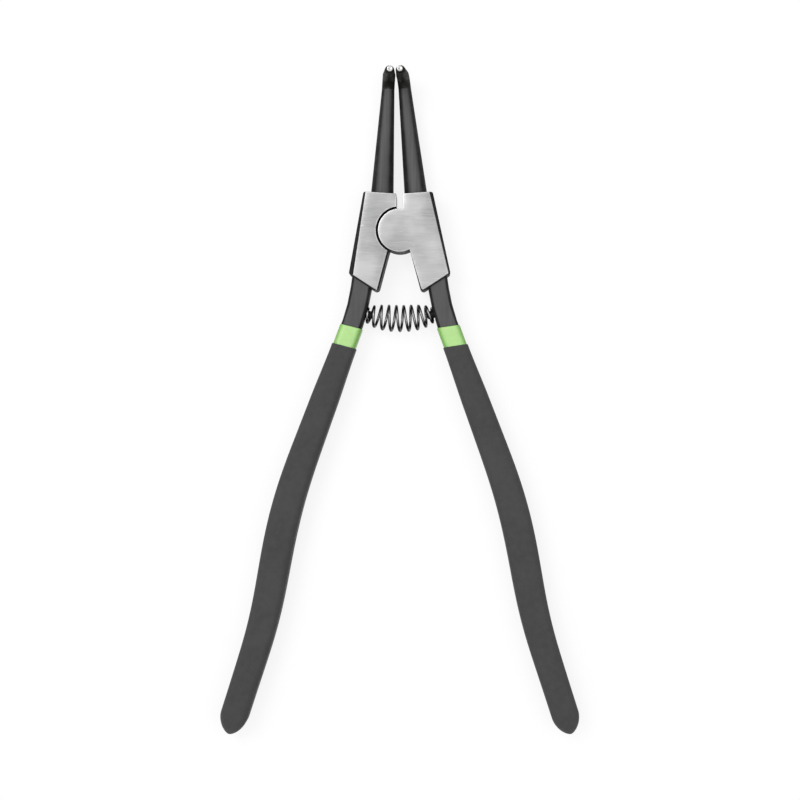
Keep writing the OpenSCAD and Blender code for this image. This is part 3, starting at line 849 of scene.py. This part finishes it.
class PLIERS_OT_tip_pins(bpy.types.Operator):
    """Turns the tip pins, blackened with ground ends"""
    bl_idname = "pliers.tip_pins"
    bl_label = "Tip pins"
    FOOT = ((0.00035, -0.0002), (0.0001, 0.0002), (0.0, 0.0005))  # past the radius, height
    DIMPLE = ((0.00045, 0.0), (0.0003, 0.00012), (0.00005, 0.0002))  # radius, depth
    EDGE, CREASE = 0.0003, math.radians(40)

    def execute(self, context):
        sizes = context.scene.pliers_sizes
        r, top = sizes.pin_r, JOINT_HIGH + sizes.tip_rise
        out, edge = sizes.pin_out, self.EDGE
        profile = [(r + past, high) for past, high in self.FOOT] + [(r, out - edge)]
        profile += [(r - edge * (1 - math.cos(b)), out - edge * (1 - math.sin(b)))
                    for b in (math.pi / 8 * i for i in range(1, 5))]
        profile += [(wide, out - deep) for wide, deep in self.DIMPLE]
        finishes = [material_for(key, context) for key in ("deep", "bright")]
        for side, body, _ in SIDES:
            low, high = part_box(side + "_tip")
            centre = Vector(((low.x + high.x) / 2, (low.y + high.y) / 2, top))
            bm = bmesh.new()
            cap(bm, skin(bm, lathe(profile, centre)))
            for face in bm.faces:
                face.material_index = int(face.calc_center_median().z > top + out - edge * 1.01)
            piece = finish_mesh(bm, side + "_tip_pin", finishes, crease=self.CREASE)
            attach(piece, body)
            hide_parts(side + "_tip")
        return {"FINISHED"}


class PLIERS_OT_rivet_and_pegs(bpy.types.Operator):
    """Gives the rivet and the spring pegs their finishes and rounded edges"""
    bl_idname = "pliers.rivet_and_pegs"
    bl_label = "Rivet and pegs"

    def execute(self, context):
        parts = [("pivot_rivet", "ground", 0.0002)]
        parts += [(side + "_spring_peg", "deep", 0.0003) for side, _, _ in SIDES]
        for name, key, rounding in parts:
            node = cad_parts[name]
            node.data.materials.clear()
            node.data.materials.append(material_for(key, context))
            weld = node.modifiers.new("Join faces", "WELD")
            weld.merge_threshold = WELD
            flats = node.modifiers.new("Clean flats", "DECIMATE")
            flats.decimate_type = "DISSOLVE"
            flats.angle_limit = math.radians(0.5)
            soft = node.modifiers.new("Rounded edges", "BEVEL")
            soft.width, soft.segments = rounding, 3
            soft.limit_method, soft.angle_limit = "ANGLE", math.radians(35)
            even_normals(node)
        return {"FINISHED"}


class PLIERS_OT_return_spring(bpy.types.Operator):
    """Winds the barrel spring between its two seats"""
    bl_idname = "pliers.return_spring"
    bl_label = "Return spring"
    CLOSE = 0.45  # pitch of the end coils over the mean
    CUT = ((0.0, 0.78), (0.10, 0.94), (0.22, 1.0))  # rounded cut: place in wire widths, thickness
    AROUND, PER_TURN, SEAT_GAP = 14, 44, 0.0001

    def execute(self, context):
        sizes = context.scene.pliers_sizes
        handle = Handle(sizes)
        x, y, a = handle.seat()
        arc_r, arc_y = x / math.sin(a), y + x / math.tan(a)
        half = a - math.atan((sizes.wire_d / 2 + self.SEAT_GAP) / arc_r)
        tight = (1 - self.CLOSE) / 7

        def centre(v):
            """Centre of the wire at v, from -1 to 1, and the way out from the spring's axis."""
            t = half * (v - tight * v * abs(v) ** 6) / (1 - tight)
            p = math.pi * sizes.turns * (v + 1)
            r = sizes.coil_mid_r - (sizes.coil_mid_r - sizes.coil_end_r) * abs(v) ** 3
            out = Vector((-math.sin(t) * math.cos(p), math.cos(t) * math.cos(p), math.sin(p)))
            axis = Vector((arc_r * math.sin(t), arc_y - arc_r * math.cos(t), handle.mid))
            return axis + r * out, out

        rings, n, m = [], self.PER_TURN * sizes.turns, self.AROUND
        ends = {0: self.CUT, n: [(-k, shrink) for k, shrink in reversed(self.CUT)]}
        for i in range(n + 1):
            v = 2 * i / n - 1
            point, out = centre(v)
            run = (centre(v + 1e-4)[0] - centre(v - 1e-4)[0]).normalized()
            e = run.cross(out).normalized()
            f = e.cross(run)
            for k, shrink in ends.get(i, [(0.0, 1.0)]):
                c = point + run * (k * sizes.wire_d)
                rings.append([c + sizes.wire_d / 2 * shrink * (f * math.cos(b) + e * math.sin(b))
                              for b in (2 * math.pi * j / m for j in range(m))])
        bm = bmesh.new()
        cap(bm, skin(bm, rings))
        piece = finish_mesh(bm, "barrel_spring", [material_for("wire", context)],
                            crease=math.radians(60))
        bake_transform(piece, REAR, FRONT, start=(-x, y, handle.mid), end=(x, y, handle.mid))
        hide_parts("return_spring")
        return {"FINISHED"}


class PLIERS_OT_dips(bpy.types.Operator):
    """Draws the green inner dip and the grey outer dip of each handle"""
    bl_idname = "pliers.dips"
    bl_label = "Dipped handles"
    LIP, EASED, INSIDE_STEP = 0.0003, 0.0008, 0.006

    def execute(self, context):
        sizes = context.scene.pliers_sizes
        handle = Handle(sizes)
        coats = (("inner_dip", "green", "green_dip", sizes.neck_len, sizes.dip_gap, sizes.dip_in,
                  self.EASED, 0.0),
                 ("grip", "grey", "grey_dip", handle.grip_from, sizes.dip_in + sizes.dip_gap,
                  handle.dips, 0.0, sizes.dip_thin))
        for side, body, sign in SIDES:
            slant = math.tan(sizes.right_lips if body == FRONT else sizes.left_lips)
            for name, key, slot, s0, inside, outside, soft, thin in coats:
                bm = bmesh.new()
                outer = skin(bm, *handle.layer(s0, outside, sign, self.LIP, slant, soft, thin))
                inner = skin(bm, *handle.layer(s0, inside, sign, 0.0, slant,
                                               spacing=self.INSIDE_STEP))
                bridge(bm, inner[0], outer[0])
                piece = finish_mesh(bm, f"{side}_{name}_skin", [material_for(key, context)])
                even_normals(piece)
                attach(piece, body)
                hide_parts(f"{side}_{name}")
        return {"FINISHED"}


class PLIERS_OT_stage(bpy.types.Operator):
    """Lays the pale floor, sets the soft light and places the camera"""
    bl_idname = "pliers.stage"
    bl_label = "Floor, light and camera"
    FLOOR_GAP, FLOOR_GLOW, TENT_PALE = 0.0004, 0.82, 0.9
    LAMPS = (("Key", (-0.55, 0.40, 1.0), 0.6, 4.0), ("Fill", (0.6, -0.1, 1.0), 0.9, 2.5))
    LAMP_AIM = (0.0, -0.08, 0.0)

    def execute(self, context):
        self.floor(context)
        self.light(context)
        self.camera(context)
        context.scene.view_settings.view_transform = "Standard"
        return {"FINISHED"}

    def floor(self, context):
        """A wide disc that turns up at its rim, so that low views end in the same pale tone."""
        reach, turn = 4.0, 1.4
        profile = [(0.9 * reach, 0.0), (reach, 0.0)]
        profile += [(reach + turn * math.sin(b), turn * (1 - math.cos(b)))
                    for b in (math.pi / 16 * i for i in range(1, 9))]
        bm = bmesh.new()
        rows = skin(bm, lathe(profile, Vector((0, 0, JOINT_LOW - self.FLOOR_GAP))))
        bm.faces.new(rows[0])
        material = bpy.data.materials.new("Pale floor")
        material.use_nodes = True
        tree = material.node_tree
        tree.nodes.clear()
        level = calc(tree, "MULTIPLY", (-240, 300), self.seen(tree), self.FLOOR_GLOW)
        glow = put(tree, "Emission", (-60, 300), Strength=level)
        matte = put(tree, "BsdfDiffuse", (-60, 100), (*context.scene.pliers_colours.floor, 1.0))
        both = put(tree, "AddShader", (150, 200), glow.outputs[0], matte.outputs[0])
        put(tree, "OutputMaterial", (350, 200), Surface=both.outputs[0])
        finish_mesh(bm, "floor", [material])

    def seen(self, tree):
        """1 for the rays that show the background, in the picture, in metal and through glass."""
        rays = put(tree, "LightPath", (-800, 300)).outputs
        first = calc(tree, "MAXIMUM", (-600, 300), rays["Is Camera Ray"], rays["Is Glossy Ray"])
        return calc(tree, "MAXIMUM", (-420, 300), first, rays["Is Transmission Ray"])

    def light(self, context):
        """A soft tent, brightest overhead and a little darker to the right, and two wide lamps."""
        world = bpy.data.worlds.new("Soft tent")
        context.scene.world = world
        world.use_nodes = True
        tree = world.node_tree
        back = tree.nodes["Background"]
        place = put(tree, "TexCoord", (-900, 0))
        split = put(tree, "SeparateXYZ", (-700, 0), place.outputs["Generated"])
        rise = ramp(tree, split.outputs["Z"], (0.15, 0.85), (0.34, 0.935), (-500, 0))
        shade = ramp(tree, split.outputs["X"], (-0.05, 0.65), (1.0, 0.45), (-500, -250))
        both = calc(tree, "MULTIPLY", (-280, -100), rise, shade)
        low = ramp(tree, split.outputs["Z"], (0.30, 0.55), (1.0, 0.0), (-500, -500))
        pale = calc(tree, "MULTIPLY", (-280, -400), low, self.seen(tree))
        tent = mix(tree, "FLOAT", pale, both, self.TENT_PALE, (-100, -200))
        tree.links.new(tent, back.inputs["Strength"])
        back.inputs["Color"].default_value = (1.0, 1.0, 1.0, 1.0)
        for name, at, size, power in self.LAMPS:
            lamp = bpy.data.lights.new(name, "AREA")
            lamp.shape, lamp.size, lamp.energy = "DISK", size, power
            holder = bpy.data.objects.new(name, lamp)
            holder.location = at
            aim = Vector(self.LAMP_AIM) - Vector(at)
            holder.rotation_euler = aim.to_track_quat("-Z", "Y").to_euler()
            context.scene.collection.objects.link(holder)

    def camera(self, context):
        """Looks straight down from a little to the right of the pliers' midline."""
        side, middle, height, lens = 0.02, -0.07974, 0.6, 56.3
        plane = 0.006  # height at which the shift brings the midline back to its place
        cam = bpy.data.cameras.new("Camera")
        cam.lens, cam.sensor_width = lens, 36.0
        cam.shift_x = -side / ((height - plane) * cam.sensor_width / lens)
        holder = bpy.data.objects.new("Camera", cam)
        holder.location = (side, middle, height)
        context.scene.collection.objects.link(holder)
        context.scene.camera = holder


class PLIERS_PT_panel(bpy.types.Panel):
    """Lists the pieces of the pliers and their sizes"""
    bl_idname = "PLIERS_PT_panel"
    bl_label = "Circlip pliers"
    bl_space_type = "VIEW_3D"
    bl_region_type = "UI"
    bl_category = "Pliers"

    def draw(self, context):
        for operator in OPERATORS:
            self.layout.operator(operator.bl_idname)
        for group in (context.scene.pliers_sizes, context.scene.pliers_colours):
            box = self.layout.box()
            for key in group.__annotations__:
                box.prop(group, key)


OPERATORS = (PLIERS_OT_steel_halves, PLIERS_OT_tip_pins, PLIERS_OT_rivet_and_pegs,
             PLIERS_OT_return_spring, PLIERS_OT_dips, PLIERS_OT_stage)
CLASSES = (PliersSizes, PliersColours, *OPERATORS, PLIERS_PT_panel)


def register():
    for item in CLASSES:
        bpy.utils.register_class(item)
    bpy.types.Scene.pliers_sizes = PointerProperty(type=PliersSizes)
    bpy.types.Scene.pliers_colours = PointerProperty(type=PliersColours)


def unregister():
    del bpy.types.Scene.pliers_colours
    del bpy.types.Scene.pliers_sizes
    for item in reversed(CLASSES):
        bpy.utils.unregister_class(item)


def main():
    register()
    bpy.ops.pliers.steel_halves()
    bpy.ops.pliers.tip_pins()
    bpy.ops.pliers.rivet_and_pegs()
    bpy.ops.pliers.return_spring()
    bpy.ops.pliers.dips()
    bpy.ops.pliers.stage()


if __name__ == "__main__":
    main()
